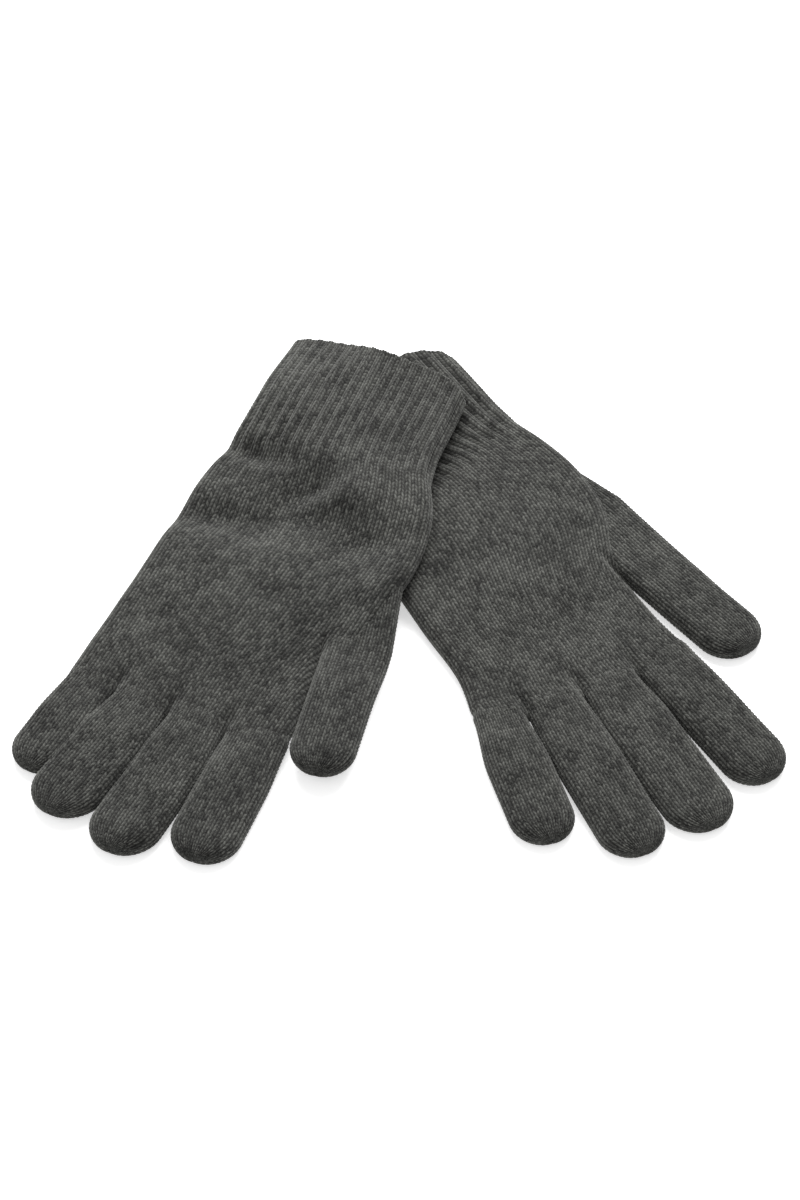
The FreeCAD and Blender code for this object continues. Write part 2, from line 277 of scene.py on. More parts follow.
class Digit(NamedTuple):
    """A finger or the thumb in the plan."""
    name: str
    body: str
    root: tuple
    splay: float                 # radians from straight ahead, towards the thumb
    length: float
    half_width: float

    def place(self, along, across):
        """The plan point at some distance from the root, and some distance beside the middle line."""
        cos, sin = math.cos(self.splay), math.sin(self.splay)
        return self.root[0] + along * sin + across * cos, self.root[1] - along * cos + across * sin

    def measure(self, x, y):
        """A plan point's distance from the root, and its distance beside the middle line."""
        cos, sin = math.cos(self.splay), math.sin(self.splay)
        x, y = x - self.root[0], y - self.root[1]
        return x * sin - y * cos, x * cos + y * sin


class Shape(NamedTuple):
    """How a digit lies, compared with the frame."""
    root: float                  # half width at the root, as a share of the frame's
    swell: float                 # half width further out, as a share of the frame's
    bend: float                  # how far the tip curves towards the thumb's side
    longer: float
    lift: float                  # how high the knit stands off the table


class Crease(NamedTuple):
    """A fold that crosses the top of a glove."""
    x: float
    y: float
    angle: float
    length: float
    width: float
    rise: float                  # below 0 for a valley


class Look(NamedTuple):
    """How a glove lies. Sides are given as what they add to the seam's half width."""
    shapes: dict                 # a Shape for each digit
    little_side: tuple           # (place, added) along the hand on the little finger's side
    little_corner: float         # moves the outline's end at the little finger inwards
    seam_flare: float            # added on the thumb's side of the seam
    palm_side: float             # added beside the thumb's root
    thumb_hold: float            # behind its root, the thumb keeps its width for this long
    thumb_taper: float           # then it loses this much for each mm
    rim_extra: float             # length of the cuff beyond the frame's
    rim_slant: float             # the rim's little-finger side is this much longer, its other side shorter
    rim_corners: tuple           # how far the rim's corners are cut back, little finger's first
    cuff_sides: tuple            # added on each side of the rim, little finger's first
    wrist_bend: float            # how far the cuff leans sideways for each mm past the ribs' end
    askew: float                 # the same, but only in the middle of the wrist
    rib_end: float               # where the ribs end on the thumb's side
    rib_end_slant: float         # how fast that place changes towards the little finger
    seed: int
    creases: tuple


def flat_map(x, y):
    """A height map that is zero everywhere."""
    return np.zeros_like(x)


class Glove:
    """Where one glove lies, and where its digits start, as the frame's joints and nodes say."""

    def __init__(self, side, look):
        self.side, self.look = side, look
        self.hand_body = "root" if side == "right" else "left_glove"
        seam_node = f"{side}_cuff_seam_yarn"
        low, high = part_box(seam_node)
        self.middle = np.array(((low + high) / 2 / MM)[:2])
        spread = np.cov(self.plan_points(seam_node, turn=0))
        self.turn = math.atan2(2 * spread[0, 1], spread[0, 0] - spread[1, 1]) / 2
        self.seam_half_width = np.ptp(self.plan_points(seam_node, self.turn)[0]) / 2
        self.digits = {name: self.read_digit(name) for name in DIGITS}
        self.cuff_length = self.reach(f"{side}_rib_cuff", (0, 1))
        self.drape = flat_map
        self.press = flat_map

    def to_plan(self, x, y, turn):
        return np.array(turned(x - self.middle[0], y - self.middle[1], -turn))

    def to_table(self, x, y):
        x, y = turned(x, y, self.turn)
        return x + self.middle[0], y + self.middle[1]

    def plan_points(self, node, turn):
        """A CAD node's points in the plan."""
        points = np.array([vertex.co for vertex in frame["nodes"][node].data.vertices]) / MM
        return self.to_plan(points[:, 0], points[:, 1], turn)

    def reach(self, node, direction, start=(0, 0)):
        """Greatest distance of a node's points from start, along a direction in the plan."""
        x, y = self.plan_points(node, self.turn)
        return np.max((x - start[0]) * direction[0] + (y - start[1]) * direction[1])

    def digit_node(self, name):
        return f"{self.side}_{name}" if name == "thumb" else f"{self.side}_{name}_finger"

    def read_digit(self, name):
        joint = JOINTS[f"{self.side}_{name}_fold"]
        x, y = self.to_plan(joint["pos_m"][0] / MM, joint["pos_m"][1] / MM, self.turn)
        ahead = fold_direction(joint)
        splay = math.atan2(ahead.x, -ahead.y) - self.turn
        forward = (math.sin(splay), -math.cos(splay))
        sideways = (math.cos(splay), math.sin(splay))
        node = self.digit_node(name)
        length = self.reach(node, forward, (x, y))
        half_width = self.reach(node, sideways, (x, y))
        return Digit(name, joint["child"], (x, y), splay, length, half_width)

    def rib_end(self, x):
        """Where the ribs end, along a slanted line across the wrist."""
        return self.look.rib_end + self.look.rib_end_slant * (self.seam_half_width - x)

    def limpness(self, x, y):
        """Height of the broad and narrow waves and of the creases in the top of the glove."""
        seed = self.look.seed
        height = 0.55 * smooth_noise(x, y, 31, seed) + 0.3 * smooth_noise(x, y, 11, seed + 1)
        for crease in self.look.creases:
            along, across = turned(x - crease.x, y - crease.y, -crease.angle)
            across = across + 1.5 * smooth_noise(x, y, 14, seed + 2)
            height = height + crease.rise * bell(along, crease.length) * bell(across, crease.width)
        return height

    def lay(self, x, y, z):
        """Moves plan points to the table. The cuff leans, the top is limp, and z is pressed and draped."""
        half_height = half_height_at(y)
        lean = self.look.wrist_bend + self.look.askew * bell(x - 8, 18)
        x = x + lean * np.maximum(0, y - self.rib_end(x))
        z = z + smoothstep(-half_height, half_height, z) * self.limpness(x, y)
        table_x, table_y = self.to_table(x, y)
        z = (z + half_height) * (1 - self.press(table_x, table_y))
        z = z + TABLE_CLEARANCE + self.drape(table_x, table_y)
        return np.stack([table_x, table_y, z], axis=-1)


def fold_direction(joint):
    """The level direction in which a fold's moving side lies ahead of its hinge."""
    return Vector((0, 0, 1)).cross(Vector(joint["axis"]))


# ---------------------------------------------------------------- the hand

def knuckle_line(glove):
    """Ends of the finger roots in the plan, from the little finger to the forefinger."""
    fingers = [glove.digits[name] for name in reversed(FINGERS)]
    return [finger.place(0, side * finger.half_width) for finger in fingers for side in (-1, 1)]


def smooth_knuckles(corners):
    """The knuckle line as one smooth curve: root middles and the two outer ends."""
    middles = [((a[0] + b[0]) / 2, (a[1] + b[1]) / 2) for a, b in zip(corners[::2], corners[1::2])]
    return [corners[0]] + middles + [corners[-1]]


def hand_sides(glove, corners):
    """Both sides of the hand without its thumb, as (y, x) knots: the little finger's, then the thumb's."""
    look, seam = glove.look, glove.seam_half_width
    little, index = corners[0], corners[-1]
    thumb_y = glove.digits["thumb"].root[1]
    little_side = [(y, -seam - added) for y, added in look.little_side]
    little_side.append((little[1], little[0] + look.little_corner))
    thumb_side = [(0, seam + look.seam_flare)]
    thumb_side += [(y, seam + bulge) for y, bulge in THUMB_BALL]
    thumb_side += [(thumb_y, seam + 0.5 + look.palm_side),
                   (thumb_y - 16, index[0] - 3.5 + look.palm_side),
                   (index[1], index[0] - 0.8)]
    return little_side, thumb_side


def hand_rows(drop):
    """For each row of the hand, its share of the way to the knuckles and its angle round the end's cap."""
    body_rows = int(round(drop / COURSE)) * ROWS_PER_COURSE
    cap_rows = 2 * ROWS_PER_COURSE + 1
    down = np.concatenate([np.linspace(0, 1, body_rows + 1), np.ones(cap_rows)])
    roll = np.concatenate([np.zeros(body_rows + 1), np.linspace(0, CAP_ANGLE, cap_rows + 1)[1:]])
    return down[:, None], roll[:, None]


def finger_valleys(corners, x, y):
    """How much the hand thins, as a share, where the gaps between the fingers run into it."""
    thinning = 0
    for before, after in zip(corners[1:-1:2], corners[2::2]):
        gap_x, gap_y = (before[0] + after[0]) / 2, (before[1] + after[1]) / 2
        fade = smoothstep(gap_y + VALLEY_REACH[0], gap_y + VALLEY_REACH[1], y)
        drift = 0.06 * gap_x * (y - gap_y) / 17
        thinning = thinning + fade * bell(x - gap_x - drift, VALLEY_HALF_WIDTH)
    return thinning * CREASE_DEPTH / FINGER_HALF_HEIGHT


def thumb_valley(glove, x, y):
    """How much the hand thins, as a share, along the inner edge of the thumb."""
    thumb = glove.digits["thumb"]
    along, across = thumb.measure(x, y)
    beside = across + thumb.half_width
    return THUMB_VALLEY * smoothstep(-12, 6, along) * bell(beside + 0.8, THUMB_VALLEY_HALF_WIDTH)


def hand_tube(glove):
    """The hand, as wide as its outline says, with a rounded end at the knuckles."""
    corners = knuckle_line(glove)
    drop = -np.mean([y for _, y in corners])
    share, wale = columns_round(glove.seam_half_width)
    down, roll = hand_rows(drop)
    left, right = (spline(side, -down * drop) for side in hand_sides(glove, corners))
    x, z = cross_section(share, (right - left) / 2, half_height_at(-down * drop), CROWN)
    x = x + (right + left) / 2
    y = down * spline(smooth_knuckles(corners), x) - ROOT_CAP * np.sin(roll)
    z = z * (np.cos(roll) - finger_valleys(corners, x, y) - thumb_valley(glove, x, y))
    course = (-down * drop - ROOT_CAP * np.sin(roll))[:, 0] / COURSE
    relief = stitch_relief(wale, course) + rib_relief(glove, wale, x, y)
    return Tube(glove.lay(x, y, z), wale, course, relief, flip=True, cap_start=False, cap_end=True)


# ---------------------------------------------------------------- fingers and thumb

class DigitRows(NamedTuple):
    """The rows of a digit's tube, from its rounded root to its tip."""
    along: np.ndarray            # distance from the root
    cloth: np.ndarray            # the same, measured along the cloth
    roll: np.ndarray             # angle round the cap at the root
    tip: np.ndarray              # angle round the tip


def digit_rows(start, shoulder, tip_radius):
    """Rows from start, straight on to the shoulder and then round the tip, a course apart on the cloth."""
    row = COURSE / ROWS_PER_COURSE
    step = row / tip_radius
    cap = np.linspace(CAP_ANGLE, 0, 2 * ROWS_PER_COURSE + 2)[:-1]
    tip = np.append(np.arange(step, math.pi / 2 - 0.1, step), math.pi / 2 - 0.03)
    straight = np.concatenate([start - ROOT_CAP * np.sin(cap), np.arange(start, shoulder, row)])
    past_cap = np.zeros(len(straight) + len(tip) - len(cap))
    return DigitRows(along=np.concatenate([straight, shoulder + tip_radius * np.sin(tip)]),
                     cloth=np.concatenate([straight, shoulder + tip_radius * tip]),
                     roll=np.concatenate([cap, past_cap]),
                     tip=np.concatenate([np.zeros(len(straight)), tip]))


def digit_half_width(look, digit, rows):
    """Half width of each row. Behind its root, the thumb narrows inside the hand."""
    root = digit.half_width * look.shapes[digit.name].root
    full = digit.half_width * look.shapes[digit.name].swell
    half_width = root + (full - root) * smoothstep(0, SWELL_END, rows.along) - np.sin(rows.roll)
    if digit.name == "thumb":
        half_width = half_width - look.thumb_taper * np.maximum(0, -rows.along - look.thumb_hold)
    return half_width * np.cos(rows.tip)


def digit_half_height(digit, rows):
    """Half height of each row. Behind its root, the thumb thins inside the hand."""
    place = digit.root[1] - rows.along * math.cos(digit.splay)
    half_height = half_height_at(place) * np.cos(rows.roll) * np.cos(rows.tip) ** 0.55
    if digit.name == "thumb":
        half_height = half_height * (0.6 + 0.4 * smoothstep(-34, 0, rows.along))
    return half_height


def digit_crown(glove, digit, rows):
    """Crown of each row. At the root it is as high as the hand is there."""
    root = CROWN * (1 - (digit.root[0] / (glove.seam_half_width + 4)) ** 2)
    crown = root + (DIGIT_CROWN - root) * smoothstep(0, SLIM_END, rows.along)
    if digit.name == "thumb":
        crown = crown * smoothstep(THUMB_START, 0, rows.along)
    return crown * np.cos(rows.tip) * np.cos(rows.roll)


def digit_tube(glove, name):
    """A finger or the thumb: a tube that starts inside the hand and closes in a round tip."""
    digit, shape = glove.digits[name], glove.look.shapes[name]
    start, lift_start = (THUMB_START, THUMB_LIFT_START) if name == "thumb" else (0.0, 0.0)
    tip_radius = digit.half_width * shape.swell
    share, wale = columns_round(tip_radius)
    rows = digit_rows(start, digit.length + shape.longer - tip_radius, tip_radius)
    across, z = cross_section(share, digit_half_width(glove.look, digit, rows)[:, None],
                              digit_half_height(digit, rows)[:, None],
                              digit_crown(glove, digit, rows)[:, None])
    along = rows.along[:, None]
    across = across + shape.bend * np.clip(along / digit.length, 0, 1) ** 1.5
    z = z + shape.lift * smoothstep(lift_start, SWELL_END, along)
    x, y = digit.place(along, across)
    course = (digit.root[1] - rows.cloth) / COURSE
    relief = stitch_relief(wale, course) * np.cos(rows.tip[:, None]) ** 0.3
    return Tube(glove.lay(x, y, z), wale, course, relief, flip=True, cap_start=True, cap_end=True)


# ---------------------------------------------------------------- the cuff

class CuffRows(NamedTuple):
    """The rows of the cuff: up its outside, round its rim and down its inner layer."""
    place: np.ndarray            # distance from the hand
    depth: np.ndarray            # distance inside the outer surface
    course: np.ndarray


def cuff_rows(length):
    """Rows of a cuff of that length. The inner ones are wider apart, because they are hardly seen."""
    outer = np.linspace(0, length - 1, int(round(length / COURSE)) * ROWS_PER_COURSE)
    rim = np.linspace(0, math.pi, 9)[1:-1]
    inner = np.arange(length - 1, 2, -2.5)
    rim_place = length - 1 + np.sin(rim) * LAYER / 2
    rim_depth = LAYER * (1 - np.cos(rim)) / 2
    inner_course = length + 4 + (length - inner)
    return CuffRows(place=np.concatenate([outer, rim_place, inner]),
                    depth=np.concatenate([np.zeros(len(outer)), rim_depth, np.full(len(inner), LAYER)]),
                    course=np.concatenate([outer, length + rim, inner_course]) / COURSE)


def rim_cut(look, side, reach):
    """How much shorter the cuff is where it is side of the way across and reach of the way to its rim."""
    roundness = np.where(side < 0, look.rim_corners[0], look.rim_corners[1])
    corner = roundness * np.clip((np.abs(side) - 0.65) / 0.35, 0, 1) ** 2 * reach ** 4
    return look.rim_slant * side * reach ** 2 + corner


def cuff_tube(glove):
    """The ribbed cuff with its rounded rim and its inner layer."""
    look, seam = glove.look, glove.seam_half_width
    length = glove.cuff_length + look.rim_extra
    share, wale = columns_round(seam)
    rows = cuff_rows(length)
    near_hand = np.clip(1 - rows.place / 20, 0, 1)[:, None] ** 2
    depth, reach = rows.depth[:, None], (rows.place / length)[:, None]
    little_edge = look.cuff_sides[0] + (look.little_side[0][1] - look.cuff_sides[0]) * near_hand
    thumb_edge = look.cuff_sides[1] + (look.seam_flare - look.cuff_sides[1]) * near_hand
    half_width = seam + (little_edge + thumb_edge) / 2 - depth
    x, z = cross_section(share, half_width, HALF_HEIGHT - 0.9 * depth, CROWN * (0.8 + 0.2 * near_hand))
    y = rows.place[:, None] - rim_cut(look, x / seam, reach)
    x = x + (thumb_edge - little_edge) / 2
    y = y + RIM_WAVE * smooth_noise(x, np.full_like(x, 7), 9, look.seed) * reach ** 3
    ridges = rib_relief(glove, wale, x, y) * (1 - 0.75 * reach ** 8)
    relief = (ridges + stitch_relief(wale, rows.course)) * np.clip(1 - depth / LAYER, 0.12, 1)
    return Tube(glove.lay(x, y, z), wale, rows.course, relief, flip=False, cap_start=False, cap_end=False)


# ---------------------------------------------------------------- materials

class Graph:
    """Short ways to build a material's nodes."""

    def __init__(self, material):
        material.use_nodes = True
        self.nodes = material.node_tree.nodes
        self.links = material.node_tree.links
        self.nodes.clear()

    def add(self, kind, inputs, **settings):
        """A node with its settings, and with its inputs set to values or joined to other outputs."""
        node = self.nodes.new(kind)
        for key, value in settings.items():
            setattr(node, key, value)
        for key, value in inputs.items():
            if isinstance(value, bpy.types.NodeSocket):
                self.links.new(value, node.inputs[key])
            else:
                node.inputs[key].default_value = value
        return node

    def math(self, operation, *values):
        return self.add("ShaderNodeMath", dict(enumerate(values)), operation=operation).outputs[0]

    def noise(self, place, scale, detail, roughness=0.5):
        inputs = {"Vector": place, "Scale": scale, "Detail": detail, "Roughness": roughness}
        return self.add("ShaderNodeTexNoise", inputs).outputs["Fac"]


def stitch_nodes(graph):
    """A random number for each stitch, and the height of its yarn: 1 on top of a leg, 0 between legs.
    The legs slant as they do in the mesh."""
    uv = graph.add("ShaderNodeUVMap", {}, uv_map="Knit")
    split = graph.add("ShaderNodeSeparateXYZ", {0: uv.outputs["UV"]})
    wale, course = split.outputs["X"], split.outputs["Y"]
    mirrored = graph.math("PINGPONG", graph.math("FRACT", wale), 0.5)
    lean = graph.math("SUBTRACT", mirrored, 0.25)
    leg_place = graph.math("SUBTRACT", course, graph.math("MULTIPLY", lean, LEAN))

    leg_number = graph.math("FLOOR", graph.math("MULTIPLY", wale, 2.0))
    row_number = graph.math("FLOOR", graph.math("ADD", leg_place, 0.5))
    stitch = graph.add("ShaderNodeCombineXYZ", {"X": leg_number, "Y": row_number})
    grey = graph.add("ShaderNodeTexWhiteNoise", {"Vector": stitch.outputs[0]}, noise_dimensions="3D")

    leg = graph.math("SINE", graph.math("MULTIPLY", mirrored, 2 * math.pi))
    wave = graph.math("COSINE", graph.math("MULTIPLY", leg_place, 2 * math.pi))
    strength = graph.math("ADD", graph.math("MULTIPLY", wave, 0.3), 0.7)
    return grey.outputs["Value"], graph.math("MULTIPLY", leg, strength)


def wool_colour(graph, place, grey, fibre, height):
    """Melange: stitches, fibres and larger clouds each have their grey, and painted shade darkens the gaps
    between the legs of yarn.
    """
    cloud = graph.noise(place, 90.0, 4.0)
    patch = graph.noise(place, 38.0, 2.0)
    mix = graph.math("MULTIPLY", grey, 0.5)
    for noise, share in ((fibre, 1.8), (cloud, 0.75), (patch, 0.4)):
        mix = graph.math("ADD", mix, graph.math("MULTIPLY", noise, share))
    mix = graph.math("SUBTRACT", mix, 1.37)
    wool = graph.add("ShaderNodeMixRGB", {"Fac": mix, "Color1": WOOL_DARK, "Color2": WOOL_LIGHT})
    # painted shade: the colour gets darker where the yarn is low, between the legs of the stitches
    painted_gap_shade = graph.math("ADD", graph.math("MULTIPLY", height, 0.9), 0.12)
    inputs = {"Fac": 1.0, "Color1": wool.outputs[0], "Color2": painted_gap_shade}
    return graph.add("ShaderNodeMixRGB", inputs, blend_type="MULTIPLY").outputs[0]


def wool_bump(graph, fibre, height):
    """Fine relief of the fibres on top of the mesh's stitches."""
    height = graph.math("ADD", graph.math("MULTIPLY", height, 0.5), graph.math("MULTIPLY", fibre, 0.8))
    inputs = {"Strength": 0.5, "Distance": 0.0005, "Height": height}
    return graph.add("ShaderNodeBump", inputs).outputs[0]


def wool_material(name):
    """Dark grey melange wool: matt, with the soft sheen of loose fibres."""
    material = bpy.data.materials.new(name)
    graph = Graph(material)
    grey, height = stitch_nodes(graph)
    place = graph.add("ShaderNodeTexCoord", {}).outputs["Object"]
    fibre = graph.noise(place, 2200.0, 3.0, roughness=0.7)
    surface = graph.add("ShaderNodeBsdfPrincipled", {
        "Base Color": wool_colour(graph, place, grey, fibre, height),
        "Normal": wool_bump(graph, fibre, height),
        "Roughness": 0.95,
        "Specular IOR Level": 0.15,
        "Sheen Weight": 0.35,
        "Sheen Roughness": 0.5,
        "Sheen Tint": FUZZ_COLOUR})
    graph.add("ShaderNodeOutputMaterial", {"Surface": surface.outputs[0]})
    return material


WOOL = {slot: wool_material(slot) for slot in ("stockinette_knit", "rib_knit", "seam_yarn")}


# ---------------------------------------------------------------- meshes

class Faces(NamedTuple):
    """Faces as one long list of corners, with how many corners each face has."""
    corners: np.ndarray
    uvs: np.ndarray              # wale and course at each corner
    sizes: np.ndarray


def wall_faces(tube):
    """The four-sided faces between neighbouring rows and columns of a tube."""
    rows, columns = tube.points.shape[:2]
    row, column = np.meshgrid(np.arange(rows - 1), np.arange(columns), indexing="ij")
    row, column = row.ravel(), column.ravel()
    steps = [(0, 0), (0, 1), (1, 1), (1, 0)]
    if tube.flip:
        steps.reverse()
    corners = [(row + down) * columns + (column + across) % columns for down, across in steps]
    uvs = [(tube.wale[column + across], tube.course[row + down]) for down, across in steps]
    return Faces(corners=np.stack(corners, axis=1).ravel(),
                 uvs=np.transpose(uvs, (2, 0, 1)).reshape(-1, 2),
                 sizes=np.full(len(row), 4))


def cap_faces(tube, row, reverse):
    """Closes a tube's end by joining each point of its top to the point below it."""
    columns = tube.points.shape[1]
    corners, uvs, sizes = [], [], []
    for top in range(columns // 4, 3 * columns // 4):
        ring = [top, top + 1, (columns // 2 - top - 1) % columns, (columns // 2 - top) % columns]
        ring = list(dict.fromkeys(ring))     # at the sides, a point is its own opposite
        if reverse:
            ring.reverse()
        corners += [row * columns + point for point in ring]
        uvs += [(tube.wale[point], tube.course[row]) for point in ring]
        sizes.append(len(ring))
    return Faces(np.array(corners), np.array(uvs), np.array(sizes))


def tube_faces(tube):
    """All faces of a tube: its wall and the ends that are closed."""
    groups = [wall_faces(tube)]
    if tube.cap_start:
        groups.append(cap_faces(tube, 0, tube.flip))
    if tube.cap_end:
        groups.append(cap_faces(tube, len(tube.points) - 1, not tube.flip))
    return Faces(*(np.concatenate(lists) for lists in zip(*groups)))


def knit_mesh(name, points, faces):
    """A smooth mesh with a UV map of wales and courses."""
    mesh = bpy.data.meshes.new(name)
    mesh.vertices.add(len(points))
    mesh.vertices.foreach_set("co", (points * MM).astype(np.float32).ravel())
    mesh.loops.add(len(faces.corners))
    mesh.loops.foreach_set("vertex_index", faces.corners.astype(np.int32))
    mesh.polygons.add(len(faces.sizes))
    starts = np.cumsum(faces.sizes) - faces.sizes
    mesh.polygons.foreach_set("loop_start", starts.astype(np.int32))
    mesh.polygons.foreach_set("use_smooth", np.ones(len(starts), bool))
    mesh.update(calc_edges=True)
    mesh.validate()
    layer = mesh.uv_layers.new(name="Knit")
    layer.data.foreach_set("uv", faces.uvs.astype(np.float32).ravel())
    return mesh


def add_piece(mesh, slot, node):
    """A visible piece that stands for a CAD node, made of the wool of one of the record's slots."""
    mesh.materials.append(WOOL[slot])
    piece = bpy.data.objects.new(mesh.name, mesh)
    bpy.context.scene.collection.objects.link(piece)
    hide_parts(node)
    return piece


def add_tube(name, tube, slot, node):
    """Makes a piece from a tube, with its stitches pushed out along the normals."""
    points = tube.points + outward(tube) * tube.relief[..., None]
    points[..., 2] = np.maximum(points[..., 2], LOW_LIMIT)
    return add_piece(knit_mesh(name, points.reshape(-1, 3), tube_faces(tube)), slot, node)


def strand(path, first):
    """Points and faces of one round strand along a path, with its points numbered from first."""
    ahead = np.gradient(path, axis=0)
    ahead /= np.linalg.norm(ahead, axis=1, keepdims=True)
    sideways = np.cross(ahead, (0, 0, 1.0))
    sideways /= np.maximum(np.linalg.norm(sideways, axis=1, keepdims=True), 1e-6)
    upwards = np.cross(sideways, ahead)
    angle = 2 * np.pi * np.arange(YARN_SIDES)[None, :, None] / YARN_SIDES
    ring = np.cos(angle) * sideways[:, None] + np.sin(angle) * upwards[:, None]
    points = (path[:, None] + YARN_RADIUS * ring).reshape(-1, 3)
    faces = []
    for start in range(first, first + (len(path) - 1) * YARN_SIDES, YARN_SIDES):
        for side in range(YARN_SIDES):
            a, b = start + side, start + (side + 1) % YARN_SIDES
            faces.append((a, b, b + YARN_SIDES, a + YARN_SIDES))
    faces.append(tuple(range(first + YARN_SIDES - 1, first - 1, -1)))
    last = first + len(points) - YARN_SIDES
    faces.append(tuple(range(last, last + YARN_SIDES)))
    return points, faces


def add_yarn(name, paths, node, body):
    """One piece made of thin round strands along some paths."""
    points, faces = [], []
    for path in paths:
        strand_points, strand_faces = strand(path, len(points))
        points += list(strand_points)
        faces += strand_faces
    mesh = bpy.data.meshes.new(name)
    mesh.from_pydata([tuple(point * MM) for point in points], [], faces)
    mesh.polygons.foreach_set("use_smooth", np.ones(len(faces), bool))
    mesh.update()
    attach(add_piece(mesh, "seam_yarn", node), body)


# ---------------------------------------------------------------- one glove on the other

map_low = np.array([cad_low.x, cad_low.y]) / MM - MAP_MARGIN
map_high = np.array([cad_high.x, cad_high.y]) / MM + MAP_MARGIN


def neighbours(grid):
    """The four straight and the four diagonal neighbours of each cell of a grid."""
    padded = np.pad(grid, 1, mode="edge")
    straight = padded[:-2, 1:-1], padded[2:, 1:-1], padded[1:-1, :-2], padded[1:-1, 2:]
    diagonal = padded[:-2, :-2], padded[:-2, 2:], padded[2:, :-2], padded[2:, 2:]
    return straight, diagonal


def height_map(tubes):
    """Greatest height of some tubes in each cell of a grid over the table."""
    grid = np.zeros(((map_high - map_low) / CELL).astype(int))
    for tube in tubes:
        points = tube.points.reshape(-1, 3)
        cell = tuple(((points[:, :2] - map_low) / CELL).astype(int).T)
        np.maximum.at(grid, cell, points[:, 2])
    return grid


def blurred(grid, times):
    for _ in range(times):
        straight, diagonal = neighbours(grid)
        grid = (4 * grid + 2 * sum(straight) + sum(diagonal)) / 16
    return grid


def sheet_over(grid, slope):
    """The lowest sheet that lies on a height map and nowhere falls faster than slope, like a limp cloth."""
    sheet = grid.copy()
    fall = slope * CELL
    for _ in range(int(grid.max() / fall) + 2):
        straight, diagonal = neighbours(sheet)
        straight_rest = np.maximum.reduce(straight) - fall
        diagonal_rest = np.maximum.reduce(diagonal) - fall * math.sqrt(2)
        sheet = np.maximum.reduce([sheet, straight_rest, diagonal_rest])
    return sheet


def reader(grid):
    """A function that reads a height map anywhere on the table, smoothly."""
    def read(x, y):
        i = np.clip((x - map_low[0]) / CELL - 0.5, 0, grid.shape[0] - 1.001)
        j = np.clip((y - map_low[1]) / CELL - 0.5, 0, grid.shape[1] - 1.001)
        i0, j0 = i.astype(int), j.astype(int)
        fi, fj = i - i0, j - j0
        near = grid[i0, j0] * (1 - fi) + grid[i0 + 1, j0] * fi
        far = grid[i0, j0 + 1] * (1 - fi) + grid[i0 + 1, j0 + 1] * fi
        return near * (1 - fj) + far * fj
    return read


def lay_left_on_right(right, left):
    """Presses the right glove down where the left one lies on it, and drapes the left one over it."""
    covered = height_map([hand_tube(left), cuff_tube(left)]) > 0
    right.press = reader(PRESSED_SHARE * blurred(covered.astype(float), 6))
    support = blurred(height_map([hand_tube(right), cuff_tube(right)]), 1)
    left.drape = reader(blurred(sheet_over(support, DRAPE_SLOPE), 5))


# ---------------------------------------------------------------- assembly

def add_hand(glove, tube):
    hand = add_tube(f"{glove.side}_knit_hand", tube, "stockinette_knit", f"{glove.side}_hand")
    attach(hand, glove.hand_body)


def add_cuff(glove, tube):
    """The right cuff rides on its hand. The left one is baked in place and attached to no body."""
    cuff = add_tube(f"{glove.side}_knit_cuff", tube, "rib_knit", f"{glove.side}_rib_cuff")
    if glove.side == "right":
        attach(cuff, glove.hand_body)
        return
    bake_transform(cuff)


def add_digit(glove, name, tube):
    piece = add_tube(f"{glove.side}_knit_{name}", tube, "stockinette_knit", glove.digit_node(name))
    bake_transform(piece)


def ring_inside(tube, course, inset):
    """The ring of a tube nearest to a course, moved inwards, as a path that nearly closes."""
    row = int(np.argmin(np.abs(tube.course - course)))
    ring = tube.points[row] - inset * outward(tube)[row]
    return ring[::3]


def fork_paths(glove):
    """A short stitch across each gap between two fingers."""
    corners = knuckle_line(glove)
    paths = []
    for before, after in zip(corners[1:-1:2], corners[2::2]):
        x = (before[0] + after[0]) / 2 + np.linspace(-2, 2, 5)
        y = np.full(5, (before[1] + after[1]) / 2 + 1)
        paths.append(glove.lay(x, y, np.linspace(1, 1.2, 5)))
    return paths


def add_yarns(glove, hand, thumb):
    """The linking yarns, just under the knit: at the cuff, at the thumb and between the fingers."""
    side = glove.side
    thumb_course = glove.digits["thumb"].root[1] / COURSE
    cuff_ring = ring_inside(hand, hand.course[ROWS_PER_COURSE], 1.0)
    thumb_ring = ring_inside(thumb, thumb_course, 1.2)
    for name, paths, node in (("cuff_link", [cuff_ring], "cuff_seam_yarn"),
                              ("thumb_link", [thumb_ring], "thumb_seam_yarn"),
                              ("fork_closing", fork_paths(glove), "finger_fork_stitches")):
        add_yarn(f"{side}_{name}", paths, f"{side}_{node}", glove.hand_body)


def build_glove(glove):
    """All knitted pieces and linking yarns of one glove."""
    hand = hand_tube(glove)
    digits = {name: digit_tube(glove, name) for name in DIGITS}
    add_yarns(glove, hand, digits["thumb"])
    add_hand(glove, hand)
    add_cuff(glove, cuff_tube(glove))
    for name, tube in digits.items():
        add_digit(glove, name, tube)


def paint_tip_yarns():
    """The yarn rings inside the fingertips stay as they are in the frame."""
    for name, node in frame["nodes"].items():
        if name.endswith("tip_yarn"):
            node.data.materials.clear()
            node.data.materials.append(WOOL["seam_yarn"])


# ---------------------------------------------------------------- stage, lights and camera

def make_stage():
    """A plain pale floor."""
    bpy.ops.mesh.primitive_plane_add(size=8, location=(0, 0, 0))
    floor = bpy.context.object
    floor.name = "floor"
    material = bpy.data.materials.new("floor")
    material.use_nodes = True
    surface = material.node_tree.nodes["Principled BSDF"]
    surface.inputs["Base Color"].default_value = FLOOR_GREY
    surface.inputs["Roughness"].default_value = 0.9
    surface.inputs["Specular IOR Level"].default_value = 0.0
    surface.inputs["Emission Color"].default_value = WHITE
    surface.inputs["Emission Strength"].default_value = FLOOR_GLOW
    floor.data.materials.append(material)


